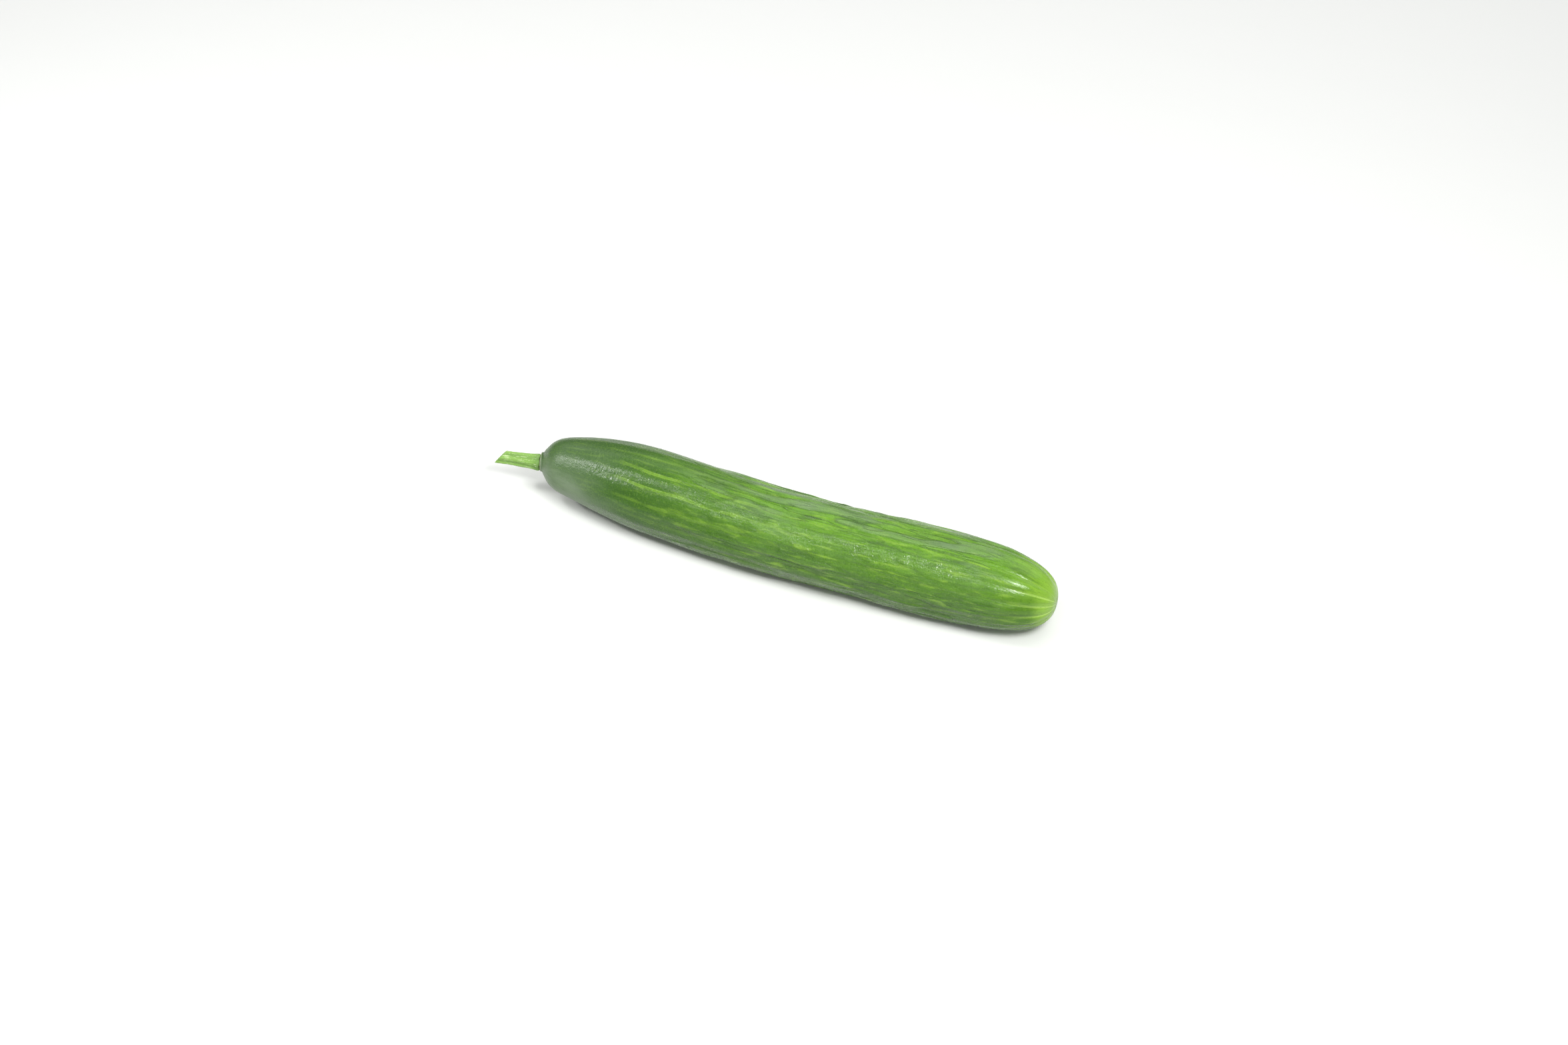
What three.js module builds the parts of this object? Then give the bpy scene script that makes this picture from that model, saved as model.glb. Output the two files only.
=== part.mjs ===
// A long greenhouse cucumber, as picked: the fruit, and the short length of stem left on it.
//
// Units are millimetres, with +Z up. The fruit lies on the plane z = 0 along X, its stem end
// towards -X and its blossom end towards +X. The origin is on that plane, under the middle of
// the object's bounding box.
//
// Both pieces are made the same way. An outline is turned on the lathe, its section is given
// ribs, and the turned solid is then laid along the curved line that the plant grew on.

import * as THREE from "three";

// Driving dimensions
const FRUIT_LENGTH = 300;
const FRUIT_DIAMETER = 47;
const STEM_LENGTH = 22; // from the fruit to the middle of the slanting cut
const STEM_BASE_DIAMETER = 8.2;
const STEM_TIP_DIAMETER = 6.8;
const JOINT_GAP = 0.3; // between the stem and the seat it grew from

// The fruit's outline
const SEAT_DIAMETER = 9; // the flat face that the stem grew from
const COLLAR_LENGTH = 1.2; // the low mound that carries the seat
const COLLAR_FLARE = 1; // how far the collar's foot stands out beyond the seat
const SHOULDER_LENGTH = 9.5; // rounding from the collar to the neck
const NECK_LENGTH = 70; // the neck widens to the full diameter over this length
const NECK_SHARE = 0.52; // the neck's diameter at the stem end, as a share of the full one
const WAIST_DEPTH = 0.4; // the slight hollow in the fruit's side, a little before its middle
const WAIST_DISTANCE = 125;
const WAIST_HALF_LENGTH = 70;
const TIP_LENGTH = 64; // rounding of the blossom end
const TIP_TAPER = 2.8; // how late the tip begins to narrow: 2 would be the side of a circle
const TIP_BLUNTNESS = 2.7; // how full the tip's end is: 2 would be the end of a circle

// The fruit's section
const RIBS = 10;
const RIB_HEIGHT = 0.3;
const LOBES = 3; // one for each seed chamber
const LOBE_HEIGHT = 0.35;
const LOBE_TURN = THREE.MathUtils.degToRad(20);
const PRESSED_DEPTH = 0.45; // how far the side that it lies on is flattened

// The stem's section and cut
const STEM_RIDGES = 5;
const STEM_RIDGE_SHARE = 0.08; // ridge height as a share of the radius
const CUT_ANGLE = THREE.MathUtils.degToRad(38); // between the cut and a square end
const CUT_SHORT_SIDE = THREE.MathUtils.degToRad(62); // round the stem, from the back to the top
const STEM_LIFT = 0.6; // how far the stem's cut end is above its root

// The line that the fruit grew on, seen from above: distance from the stem end, and how far
// the line swings to the front, which is the -Y side.
const GROWTH_LINE = [
  [0, 1.2],
  [12, -1.3],
  [33, -2.5],
  [75, -0.4],
  [130, 2.4],
  [185, 1.2],
  [235, -1],
  [FRUIT_LENGTH, -2.6],
];

// Facets
const FRUIT_SIDES = 60;
const FRUIT_STATIONS = 48;
const STEM_SIDES = 30;
const STEM_STATIONS = 8;

const fruitRadius = FRUIT_DIAMETER / 2;
const seatRadius = SEAT_DIAMETER / 2;

// Rises from 0 to 1 as share goes from 0 to 1, as the side of a rounded end does. It is a
// quarter circle when both powers are 2, and fuller when they are higher.
function rounding(share, taper = 2, bluntness = 2) {
  const left = 1 - THREE.MathUtils.clamp(share, 0, 1);
  return (1 - left ** taper) ** (1 / bluntness);
}

function collarRadiusAt(distance) {
  return seatRadius + COLLAR_FLARE * rounding(distance / COLLAR_LENGTH);
}

function bodyRadiusAt(distance) {
  const neckShare = Math.sin((Math.PI / 2) * Math.min(distance / NECK_LENGTH, 1));
  const neck = NECK_SHARE + (1 - NECK_SHARE) * neckShare;
  const shoulder = rounding((distance - COLLAR_LENGTH) / SHOULDER_LENGTH);
  const tip = rounding((FRUIT_LENGTH - distance) / TIP_LENGTH, TIP_TAPER, TIP_BLUNTNESS);
  const fromWaist = Math.min(Math.abs(distance - WAIST_DISTANCE) / WAIST_HALF_LENGTH, 1);
  const waist = WAIST_DEPTH * Math.cos((Math.PI / 2) * fromWaist) ** 2;
  return (fruitRadius - waist) * neck * shoulder * tip;
}

// The fruit's outline, from the middle of the seat to the blossom end. The stations crowd
// together towards both ends, where the outline curves most.
function fruitOutline() {
  const side = Array.from({ length: FRUIT_STATIONS + 1 }, (_, i) => {
    const distance = (FRUIT_LENGTH * (1 - Math.cos((Math.PI * i) / FRUIT_STATIONS))) / 2;
    const collar = distance < SHOULDER_LENGTH ? collarRadiusAt(distance) : 0;
    return new THREE.Vector2(Math.max(collar, bodyRadiusAt(distance)), distance);
  });
  return [new THREE.Vector2(0, 0), ...side];
}

// Ribs and lobes, as a height over the mean radius. They fade out towards both ends.
function fruitRelief(angle, distance) {
  const fromStem = THREE.MathUtils.smoothstep(distance, SHOULDER_LENGTH, NECK_LENGTH);
  const fromTip = THREE.MathUtils.smoothstep(FRUIT_LENGTH - distance, 0, TIP_LENGTH / 2);
  const ribs = RIB_HEIGHT * Math.cos(RIBS * angle);
  const lobes = LOBE_HEIGHT * Math.cos(LOBES * (angle - LOBE_TURN));
  return (ribs + lobes) * Math.min(fromStem, fromTip);
}

// The stem's outline, from the seat out to its cut end.
function stemOutline() {
  const side = Array.from({ length: STEM_STATIONS + 1 }, (_, i) => {
    const share = i / STEM_STATIONS;
    const diameter = THREE.MathUtils.lerp(STEM_BASE_DIAMETER, STEM_TIP_DIAMETER, share);
    return new THREE.Vector2(diameter / 2, STEM_LENGTH * share);
  });
  return [new THREE.Vector2(0, 0), ...side, new THREE.Vector2(0, STEM_LENGTH)];
}

// Lays a turned solid along a line. shape(radius, angle, distance) gives each point's new
// radius and distance. Angles are 0 at the right of someone who looks along the line, which is
// the fruit's front and the stem's back, and a quarter turn at the top.
function growAlong(line, outline, sides, shape) {
  const solid = new THREE.LatheGeometry(outline, sides);
  const points = solid.getAttribute("position");
  const up = new THREE.Vector3(0, 0, 1);
  const lineLength = line.getLength();
  for (let i = 0; i < points.count; i += 1) {
    const across = points.getX(i);
    const upward = points.getZ(i);
    const angle = Math.atan2(upward, across);
    const shaped = shape(Math.hypot(across, upward), angle, points.getY(i));
    const share = THREE.MathUtils.clamp(shaped.distance / lineLength, 0, 1);
    const along = line.getTangentAt(share);
    const right = along.clone().cross(up).normalize();
    const top = right.clone().cross(along);
    const place = line
      .getPointAt(share)
      .addScaledVector(along, shaped.distance - share * lineLength)
      .addScaledVector(right, shaped.radius * Math.cos(angle))
      .addScaledVector(top, shaped.radius * Math.sin(angle));
    points.setXYZ(i, place.x, place.y, place.z);
  }
  return solid;
}

// Flattens the underside, where the fruit's own weight presses it on a table.
function pressUnderside(solid, lowest) {
  const points = solid.getAttribute("position");
  for (let i = 0; i < points.count; i += 1) {
    points.setZ(i, Math.max(points.getZ(i), lowest));
  }
}

function makeFruit(line) {
  const solid = growAlong(line, fruitOutline(), FRUIT_SIDES, (radius, angle, distance) => ({
    radius: radius + (radius > 0 ? fruitRelief(angle, distance) : 0),
    distance,
  }));
  pressUnderside(solid, PRESSED_DEPTH - fruitRadius);
  solid.computeVertexNormals();
  const skin = new THREE.MeshStandardMaterial({ color: 0x4f8a2e, roughness: 0.38, metalness: 0 });
  const fruit = new THREE.Mesh(solid, skin);
  fruit.name = "fruit";
  return fruit;
}

function makeStem(line) {
  const solid = growAlong(line, stemOutline(), STEM_SIDES, (radius, angle, distance) => {
    const ridged = radius * (1 + STEM_RIDGE_SHARE * Math.cos(STEM_RIDGES * angle));
    const height = ridged * Math.cos(angle - CUT_SHORT_SIDE);
    const slant = height * Math.tan(CUT_ANGLE) * (distance / STEM_LENGTH) ** 2;
    return { radius: ridged, distance: distance - slant };
  });
  solid.computeVertexNormals();
  const rind = new THREE.MeshStandardMaterial({ color: 0x8ab84c, roughness: 0.6, metalness: 0 });
  const stem = new THREE.Mesh(solid, rind);
  stem.name = "stem";
  return stem;
}

// The stem goes straight on from the fruit's own line, and lifts a little towards its cut.
function stemLine(fruitLine) {
  const outward = fruitLine.getTangentAt(0).negate();
  const seat = fruitLine.getPointAt(0).addScaledVector(outward, JOINT_GAP);
  const middle = seat.clone().addScaledVector(outward, STEM_LENGTH / 2);
  const cut = seat.clone().addScaledVector(outward, STEM_LENGTH);
  cut.z += STEM_LIFT;
  return new THREE.QuadraticBezierCurve3(seat, middle, cut);
}

function makeCucumber() {
  const turns = GROWTH_LINE.map(([distance, front]) => new THREE.Vector3(distance, -front, 0));
  const fruitLine = new THREE.CatmullRomCurve3(turns, false, "centripetal");
  const cucumber = new THREE.Group();
  cucumber.name = "cucumber";
  cucumber.add(makeFruit(fruitLine), makeStem(stemLine(fruitLine)));

  const box = new THREE.Box3().setFromObject(cucumber);
  const middle = box.getCenter(new THREE.Vector3());
  cucumber.position.set(-middle.x, -middle.y, -box.min.z);
  return cucumber;
}

const cucumber = makeCucumber();

export default cucumber;
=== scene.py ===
import math
import random
from types import SimpleNamespace

import bpy
import numpy as np
from mathutils import Color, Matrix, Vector, noise


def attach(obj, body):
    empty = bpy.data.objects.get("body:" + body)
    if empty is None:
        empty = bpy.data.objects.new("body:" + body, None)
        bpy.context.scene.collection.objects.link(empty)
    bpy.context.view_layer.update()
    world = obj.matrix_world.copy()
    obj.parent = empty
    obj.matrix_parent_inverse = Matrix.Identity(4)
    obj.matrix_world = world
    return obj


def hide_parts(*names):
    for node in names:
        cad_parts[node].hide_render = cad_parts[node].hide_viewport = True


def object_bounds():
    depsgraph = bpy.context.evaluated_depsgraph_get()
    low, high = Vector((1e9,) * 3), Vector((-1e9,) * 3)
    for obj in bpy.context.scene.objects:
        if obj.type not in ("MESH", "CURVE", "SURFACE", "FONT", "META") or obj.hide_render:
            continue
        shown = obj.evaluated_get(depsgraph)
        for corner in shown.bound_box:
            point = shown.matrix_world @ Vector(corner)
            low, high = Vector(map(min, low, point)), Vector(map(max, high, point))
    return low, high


bl_info = {
    "name": "Greenhouse Cucumber",
    "version": (1, 0, 0),
    "blender": (4, 5, 0),
    "location": "3D View > Sidebar > Cucumber",
    "description": "Grows a long greenhouse cucumber, with its cut stem, round a packed model",
    "category": "Add Mesh",
}

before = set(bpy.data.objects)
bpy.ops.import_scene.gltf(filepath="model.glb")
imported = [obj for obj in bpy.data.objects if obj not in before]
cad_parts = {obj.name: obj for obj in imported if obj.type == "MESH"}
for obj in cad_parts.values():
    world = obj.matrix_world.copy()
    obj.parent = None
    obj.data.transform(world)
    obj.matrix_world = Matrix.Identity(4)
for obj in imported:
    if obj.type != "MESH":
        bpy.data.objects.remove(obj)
CAD_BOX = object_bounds()

MM = 0.001  # the scene is in metres, and the sizes here are thought of in millimetres
SEED_STEP = 17.3  # how far apart in the noise two seeds look, in lumps


# ---------------------------------------------------------------------------------------------
# Small helpers
# ---------------------------------------------------------------------------------------------


def linear(hex_colour):
    """An sRGB hex colour as linear red, green and blue."""
    channels = [int(hex_colour[i : i + 2], 16) / 255 for i in (0, 2, 4)]
    return [c / 12.92 if c <= 0.04045 else ((c + 0.055) / 1.055) ** 2.4 for c in channels]


def smoothstep(values, low, high):
    """0 up to low, 1 from high on, and a smooth rise between them."""
    share = np.clip((np.asarray(values) - low) / (high - low), 0, 1)
    return share * share * (3 - 2 * share)


def noise_at(places, size, seed):
    """Smooth noise, mostly from -1 to 1, at each place. Its lumps have the given size in each
    direction."""
    spots = np.asarray(places) / np.array(size) + SEED_STEP * seed
    return 2 * np.array([noise.noise(spot) for spot in spots.tolist()])


def deselect_all():
    bpy.ops.object.select_all(action="DESELECT")


def select_only(piece):
    """Selects the piece alone, for the operators that follow."""
    deselect_all()
    piece.select_set(True)
    bpy.context.view_layer.objects.active = piece


def corners_of(piece):
    """The places of a mesh's vertices, one row each."""
    found = np.empty(len(piece.data.vertices) * 3)
    piece.data.vertices.foreach_get("co", found)
    return found.reshape(-1, 3)


def keep_on_points(piece, name, values):
    """Keeps one number or one vector for each vertex, for the piece's material to read."""
    kind, field = ("FLOAT", "value") if values.ndim == 1 else ("FLOAT_VECTOR", "vector")
    made = piece.data.attributes.new(name, kind, "POINT")
    made.data.foreach_set(field, values.astype(np.float32).ravel())


# ---------------------------------------------------------------------------------------------
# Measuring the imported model
# ---------------------------------------------------------------------------------------------


class Solid:
    """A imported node, to be measured: its corners, its edges, and its faces' places and sides."""

    def __init__(self, node):
        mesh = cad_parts[node].data
        self.points = np.array([v.co for v in mesh.vertices])
        self.edges = np.array([e.vertices for e in mesh.edges])
        self.middles = np.array([p.center for p in mesh.polygons])
        self.outward = np.array([p.normal for p in mesh.polygons])
        self.areas = np.array([p.area for p in mesh.polygons])

    def slice(self, place, along):
        """The points where a plane through place, square to along, cuts the edges."""
        side = (self.points - place) @ along
        first, second = side[self.edges[:, 0]], side[self.edges[:, 1]]
        cut = (first < 0) != (second < 0)
        share = (first[cut] / (first[cut] - second[cut]))[:, None]
        starts = self.points[self.edges[cut, 0]]
        ends = self.points[self.edges[cut, 1]]
        return starts + share * (ends - starts)

    def end_face(self, direction, least):
        """Middle and outward side of the faces that look along direction by at least a share."""
        ends = self.outward @ np.array(direction) > least
        weights = self.areas[ends][:, None]
        middle = (self.middles[ends] * weights).sum(axis=0) / weights.sum()
        side = (self.outward[ends] * weights).sum(axis=0)
        return middle, side / np.linalg.norm(side)


class GrowthLine:
    """The level line along the middle of the fruit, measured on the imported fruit."""

    BENDS = 7  # enough to follow the line's gentle turns
    CUTS = 30  # cuts across the fruit, whose middles the line passes
    END_WEIGHT = 12  # each end is a single point against many cuts, so it counts for more
    SQUARE_OFF = 16 * MM  # nearer the ends than this, a cut straight across isn't a fair one
    STEP = 0.5 * MM  # from one of the line's points to the next
    ROUNDS = 4  # each brings the place on the line nearer to the one that is square to a point

    def __init__(self, solid):
        seat, _ = solid.end_face((-1, 0, 0), least=0.95)
        pole = solid.points[solid.points[:, 0].argmax()]
        across = np.linspace(seat[0] + self.SQUARE_OFF, pole[0] - self.SQUARE_OFF, self.CUTS)
        found = [(seat[0], seat[1]), (pole[0], pole[1])]
        found += [(x, self.middle_at(solid, x)) for x in across]
        weights = [self.END_WEIGHT] * 2 + [1] * self.CUTS
        xs, ys = np.array(found).T
        bend = np.polynomial.Polynomial.fit(xs, ys, self.BENDS, w=weights)
        x = np.arange(seat[0], pole[0] + self.STEP, self.STEP)
        self.points = np.column_stack([x, bend(x), np.full_like(x, seat[2])])
        steps = np.linalg.norm(np.diff(self.points, axis=0), axis=1)
        self.distances = np.concatenate([[0], np.cumsum(steps)])
        slopes = bend.deriv()(x)
        self.alongs = np.column_stack([np.ones_like(x), slopes, np.zeros_like(x)])
        self.alongs /= np.linalg.norm(self.alongs, axis=1)[:, None]
        self.length = float(np.interp(pole[0], x, self.distances))

    @staticmethod
    def middle_at(solid, x):
        cut = solid.slice(np.array([x, 0, 0]), np.array([1.0, 0, 0]))
        return (cut[:, 1].min() + cut[:, 1].max()) / 2

    def place(self, distance):
        """Where the line is, at a distance from the stem end. It runs straight on past its ends."""
        inside = np.clip(distance, 0, self.length)
        at = np.column_stack([np.interp(inside, self.distances, c) for c in self.points.T])
        return at + self.along(distance) * (distance - inside)[:, None]

    def along(self, distance):
        return np.column_stack([np.interp(distance, self.distances, c) for c in self.alongs.T])

    def straighten(self, points):
        """Each point's distance from the stem end, and its angle round the line. Angles are 0 at
        the front and a quarter turn at the top."""
        distance = points[:, 0] - self.points[0, 0]
        for _ in range(self.ROUNDS):
            off = points - self.place(distance)
            distance = distance + (off * self.along(distance)).sum(axis=1)
        off = points - self.place(distance)
        along = self.along(distance)
        to_front = off[:, 0] * along[:, 1] - off[:, 1] * along[:, 0]
        return distance, np.arctan2(off[:, 2], to_front)


# ---------------------------------------------------------------------------------------------
# Settings that a user would change
# ---------------------------------------------------------------------------------------------


def length_setting(name, description, millimetres):
    return bpy.props.FloatProperty(
        name=name, description=description, default=millimetres * MM, unit="LENGTH", precision=5
    )


def colour_setting(name, description, hex_colour):
    return bpy.props.FloatVectorProperty(
        name=name, description=description, default=linear(hex_colour), subtype="COLOR", size=3
    )


class FruitSettings(bpy.types.PropertyGroup):
    """Relief and colours of the fruit's skin."""

    ribs: bpy.props.IntProperty(
        name="Ribs", description="How many ribs run along the fruit", default=16, min=6, max=24
    )
    rib_height: length_setting("Rib height", "Height of a rib on the body", 0.12)
    tip_rib_height: length_setting("Tip rib height", "Height of a rib by the blossom end", 0.9)
    furrow_depth: length_setting("Furrow depth", "Depth of the long, wavy furrows", 0.36)
    plate_height: length_setting("Plate height", "How far the skin between furrows swells", 0.42)
    crumple_height: length_setting("Crumple height", "Height of the crumples on the body", 0.3)
    swell_height: length_setting("Swell height", "How far the body swells and sinks", 0.45)

    # Deep green also paints the shade in the creases and furrows and on the lower front side.
    deep_green: colour_setting("Deep green", "Furrows and the darkest mottles", "2b4c0e")
    mid_green: colour_setting("Mid green", "The skin's general colour", "487314")
    leaf_green: colour_setting("Leaf green", "The lighter mottles and streaks", "63931d")
    stripe: colour_setting("Stripe", "The pale lines and dashes", "80a436")
    tip: colour_setting("Tip", "The blossom end", "88ad42")
    pale_tip: colour_setting("Pale tip", "The lines that meet at the blossom scar", "a9c866")
    neck: colour_setting("Neck", "The darker, bluer green of the stem end", "2b4a19")
    # Bloom also paints the sheen on the upper side and the front of the neck.
    bloom: colour_setting("Bloom", "The wax that greys the stem end", "64765a")
    cork: colour_setting("Cork", "The dry ring round the stem and the blossom's scar", "8c937a")


class StemSettings(bpy.types.PropertyGroup):
    """Relief and colours of the cut stem."""

    ridges: bpy.props.IntProperty(
        name="Ridges", description="How many ridges run along the stem", default=5, min=3, max=9
    )
    ridge_height: length_setting("Ridge height", "Height of a main ridge", 0.32)
    fibre_height: length_setting("Fibre height", "Height of the fine strings", 0.07)
    hairs: bpy.props.IntProperty(
        name="Hairs", description="How many dried hairs stand on the stem", default=90, min=0
    )

    rind: colour_setting("Rind", "The stem's general colour", "749a44")
    shade: colour_setting("Shade", "Between the ridges and at the root", "4c702e")
    # Fibre also paints the glints on the rind, partly as painted highlight.
    fibre: colour_setting("Fibre", "The pale strings and dried hairs", "c9d8a8")
    pith: colour_setting("Pith", "The cut's moist middle", "b9cf86")
    cut_edge: colour_setting("Cut edge", "The dried rim of the cut", "5c7434")


class StageSettings(bpy.types.PropertyGroup):
    """Where the camera and the lights stand."""

    azimuth: bpy.props.FloatProperty(
        name="Azimuth", description="How far the camera stands to the right of the front",
        default=math.radians(21.8), subtype="ANGLE",
    )
    elevation: bpy.props.FloatProperty(
        name="Elevation", description="How far the camera looks down",
        default=math.radians(45), subtype="ANGLE",
    )
    distance: bpy.props.FloatProperty(
        name="Distance", description="From the camera to the middle of the view",
        default=2.0, unit="LENGTH",
    )
    lens: bpy.props.FloatProperty(
        name="Lens", description="The camera's focal length in millimetres", default=85
    )
    daylight: bpy.props.FloatProperty(
        name="Room light", description="Brightness of the light from all round", default=0.3
    )
    softboxes: bpy.props.FloatProperty(
        name="Softboxes", description="Brightness of the softboxes' faces", default=3.5
    )
    floor: colour_setting("Floor", "The pale table top", "d9dad8")


# ---------------------------------------------------------------------------------------------
# Materials
# ---------------------------------------------------------------------------------------------


def add_node(tree, kind, inputs=None, **settings):
    """Adds one node to a material, with its settings, and its inputs filled or linked."""
    made = tree.nodes.new(kind)
    for name, value in settings.items():
        setattr(made, name, value)
    for socket, value in (inputs or {}).items():
        if isinstance(value, bpy.types.NodeSocket):
            tree.links.new(value, made.inputs[socket])
        else:
            made.inputs[socket].default_value = value
    return made


def new_material(name):
    """An empty material, with only the node that it goes out through."""
    material = bpy.data.materials.new(name)
    material.use_nodes = True
    material.node_tree.nodes.clear()
    return material, material.node_tree, material.node_tree.nodes.new("ShaderNodeOutputMaterial")


def where(tree, *shares):
    """The product of some shares. Each is a number, another node's output, or a fade. A fade is
    a value and the two ends between which it goes smoothly from 0 to 1, or between the two
    numbers after them."""
    product = None
    for share in shares:
        if isinstance(share, tuple):
            # A fade that gives only its ends goes from 0 to 1.
            value, start, end, at_start, at_end = (*share, 0.0, 1.0)[:5]
            ends = {"From Min": start, "From Max": end, "To Min": at_start, "To Max": at_end}
            share = add_node(
                tree, "ShaderNodeMapRange", {"Value": value, **ends},
                interpolation_type="SMOOTHSTEP",
            ).outputs[0]
        if product is not None:
            factors = {0: product, 1: share}
            share = add_node(tree, "ShaderNodeMath", factors, operation="MULTIPLY").outputs[0]
        product = share
    return product


def lumps(tree, places, size_mm, detail=2.0, distortion=0.0):
    """Noise about 0.5, with lumps of the given size along, across and upward, in mm."""
    scaled = add_node(
        tree, "ShaderNodeMapping", {"Vector": places, "Scale": [1 / size for size in size_mm]}
    )
    inputs = {"Vector": scaled.outputs[0], "Scale": 1.0, "Detail": detail}
    inputs["Distortion"] = distortion
    return add_node(tree, "ShaderNodeTexNoise", inputs).outputs[0]


def patches(tree, places, size_mm, low=0.35, high=0.65, **texture):
    """Lumps made into patches: 0 where the noise is below low, and 1 where it is above high."""
    return where(tree, (lumps(tree, places, size_mm, **texture), low, high))


def painted(tree, colour, *layers):
    """Layers of colour over the first one. Each is its colour, and the shares that say where."""
    for over, *shares in layers:
        colours = {0: where(tree, *shares), 6: colour, 7: over}
        colour = add_node(tree, "ShaderNodeMix", colours, data_type="RGBA").outputs[2]
    return colour


def embossed(tree, *layers):
    """A normal tipped by layers of relief. Each is its depth in mm, and the shares that say how
    much of that depth stands where."""
    normal = None
    for depth_mm, *shares in layers:
        inputs = {"Height": where(tree, *shares), "Strength": 1.0, "Distance": depth_mm * MM}
        if normal is not None:
            inputs["Normal"] = normal
        normal = add_node(tree, "ShaderNodeBump", inputs).outputs[0]
    return normal


def colours_of(settings):
    """The colours in a group of settings, by name, each with its alpha."""
    values = {name: getattr(settings, name) for name in type(settings).__annotations__}
    return SimpleNamespace(
        **{name: [*value, 1] for name, value in values.items() if isinstance(value, Color)}
    )


def read_skin(tree, end):
    """What the fruit's mesh keeps for its skin, by name, and what more than one of the skin's
    colour, gloss and relief need from it. end is how far the tip is from the stem, in mm."""
    kept = {
        "peel": ("along", "forward", "upward"),
        "rib": ("rib_x", "rib_y", "striped"),
        "relief": ("furrow", "furrowed", "crumpled"),
        # grown keeps the painted shade of the lower front side with the neck, the wax with its
        # painted sheen, and the neck's ripples.
        "grown": ("shaded_side_and_neck", "wax_and_sheen", "rippled"),
    }
    skin = SimpleNamespace()
    for vector_name, part_names in kept.items():
        vector = add_node(tree, "ShaderNodeAttribute", attribute_name=vector_name).outputs["Vector"]
        parts = add_node(tree, "ShaderNodeSeparateXYZ", {0: vector}).outputs
        setattr(skin, vector_name, vector)
        for part_name, part in zip(part_names, parts):
            setattr(skin, part_name, part)
    skin.past_neck = where(tree, (skin.along, 60, 150, 0.35, 1.0))
    skin.near_tip = where(tree, (skin.along, end - 36, end - 2))
    skin.at_pole = where(tree, (skin.along, end - 12, end - 1))
    skin.crease = creases(tree, skin)
    skin.bloomed = wax_bloom_and_sheen(tree, skin)
    skin.dry = dry_cork(tree, skin, end)
    return skin


def creases(tree, skin):
    """Fine creases beside the furrows, where a stretched noise passes through its middle."""
    wave = lumps(tree, skin.peel, (40, 3.4, 3.4), detail=1.0, distortion=0.25)
    off_middle = add_node(tree, "ShaderNodeMath", {0: wave, 1: 0.5}, operation="SUBTRACT")
    off_crease = add_node(
        tree, "ShaderNodeMath", {0: off_middle.outputs[0]}, operation="ABSOLUTE"
    ).outputs[0]
    return where(tree, (off_crease, 0.026, 0.005), skin.furrowed)


def wax_bloom_and_sheen(tree, skin):
    """The bloom of wax with its painted sheen: thick by the stem, and thin in patches further on.
    """
    cloud = patches(tree, skin.peel, (22, 10, 10), detail=3.0, low=0.3, high=0.7)
    return where(tree, skin.wax_and_sheen, (cloud, 0, 1, 0.6, 1.0))


def dry_cork(tree, skin, end):
    """The corky ring round the stem, and the dry scar that the blossom left."""
    ring = where(tree, (skin.along, 1.2, 0.8))
    scar = where(tree, (skin.along, end - 0.25, end - 0.05))
    return add_node(tree, "ShaderNodeMath", {0: ring, 1: scar}, operation="MAXIMUM").outputs[0]


def mottled_green(tree, skin, colours):
    """Clouds as wide as a finger tip, with shorter mottles, streaks and shadows over them. The side
    that faces the front and below is painted shade, a deeper green, and the neck is a deeper green
    too. The blossom end is paler and yellower, except in that painted shade."""
    clouds = patches(tree, skin.peel, (26, 8, 8), 0.3, 0.7, detail=3.0)
    mottles = patches(tree, skin.peel, (9, 2.8, 2.8), 0.44, 0.64, detail=3.0, distortion=0.6)
    streaks = patches(tree, skin.peel, (22, 2.2, 2.2), 0.44, 0.68, distortion=0.3)
    shadows = patches(tree, skin.peel, (18, 3.0, 3.0), 0.5, 0.68, detail=3.0, distortion=0.4)
    return painted(
        tree,
        colours.mid_green,
        (colours.leaf_green, clouds, skin.past_neck, 0.6),
        (colours.leaf_green, mottles, skin.past_neck, 0.55),
        (colours.leaf_green, streaks, 0.5),
        (colours.deep_green, shadows, 0.42),
        # Painted shade: deep green on the side that faces the front and below. The same share
        # darkens the neck.
        (colours.deep_green, skin.shaded_side_and_neck, 0.76),
        (colours.neck, (skin.along, 150, 40, 0.0, 0.8)),
        # The tip's paler green stays off the painted shade of the lower front side.
        (colours.tip, skin.near_tip, (skin.shaded_side_and_neck, 0.2, 0.9, 1.0, 0.15), 0.3),
        (colours.tip, skin.at_pole, 0.5),
    )


def pale_lines(tree, skin, under, colours):
    """Pale lines in the hollows between ribs, each with a thin dark line along its middle, and
    the short dashes that they break up into further on."""
    phase = add_node(tree, "ShaderNodeMath", {0: skin.rib_y, 1: skin.rib_x}, operation="ARCTAN2")
    off_crest = add_node(tree, "ShaderNodeMath", {0: phase.outputs[0]}, operation="ABSOLUTE")
    off_hollow = add_node(
        tree, "ShaderNodeMath", {0: math.pi, 1: off_crest.outputs[0]}, operation="SUBTRACT"
    ).outputs[0]
    band = where(tree, (off_hollow, 0.85, 0.35), skin.striped)
    broken = patches(tree, skin.peel, (7, 2.2, 2.2), 0.3, 0.6)
    dashes = patches(tree, skin.peel, (13, 2.3, 2.3), 0.53, 0.72, detail=3.0, distortion=0.5)
    return painted(
        tree,
        under,
        (colours.stripe, band, (broken, 0, 1, 0.2, 0.58)),
        (colours.mid_green, (off_hollow, 0.32, 0.12), skin.striped, 0.6, (skin.near_tip, 1, 0)),
        (colours.pale_tip, band, (skin.near_tip, 0.2, 0.9), 0.7),
        (colours.stripe, dashes, skin.past_neck, 0.5),
    )


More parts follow.
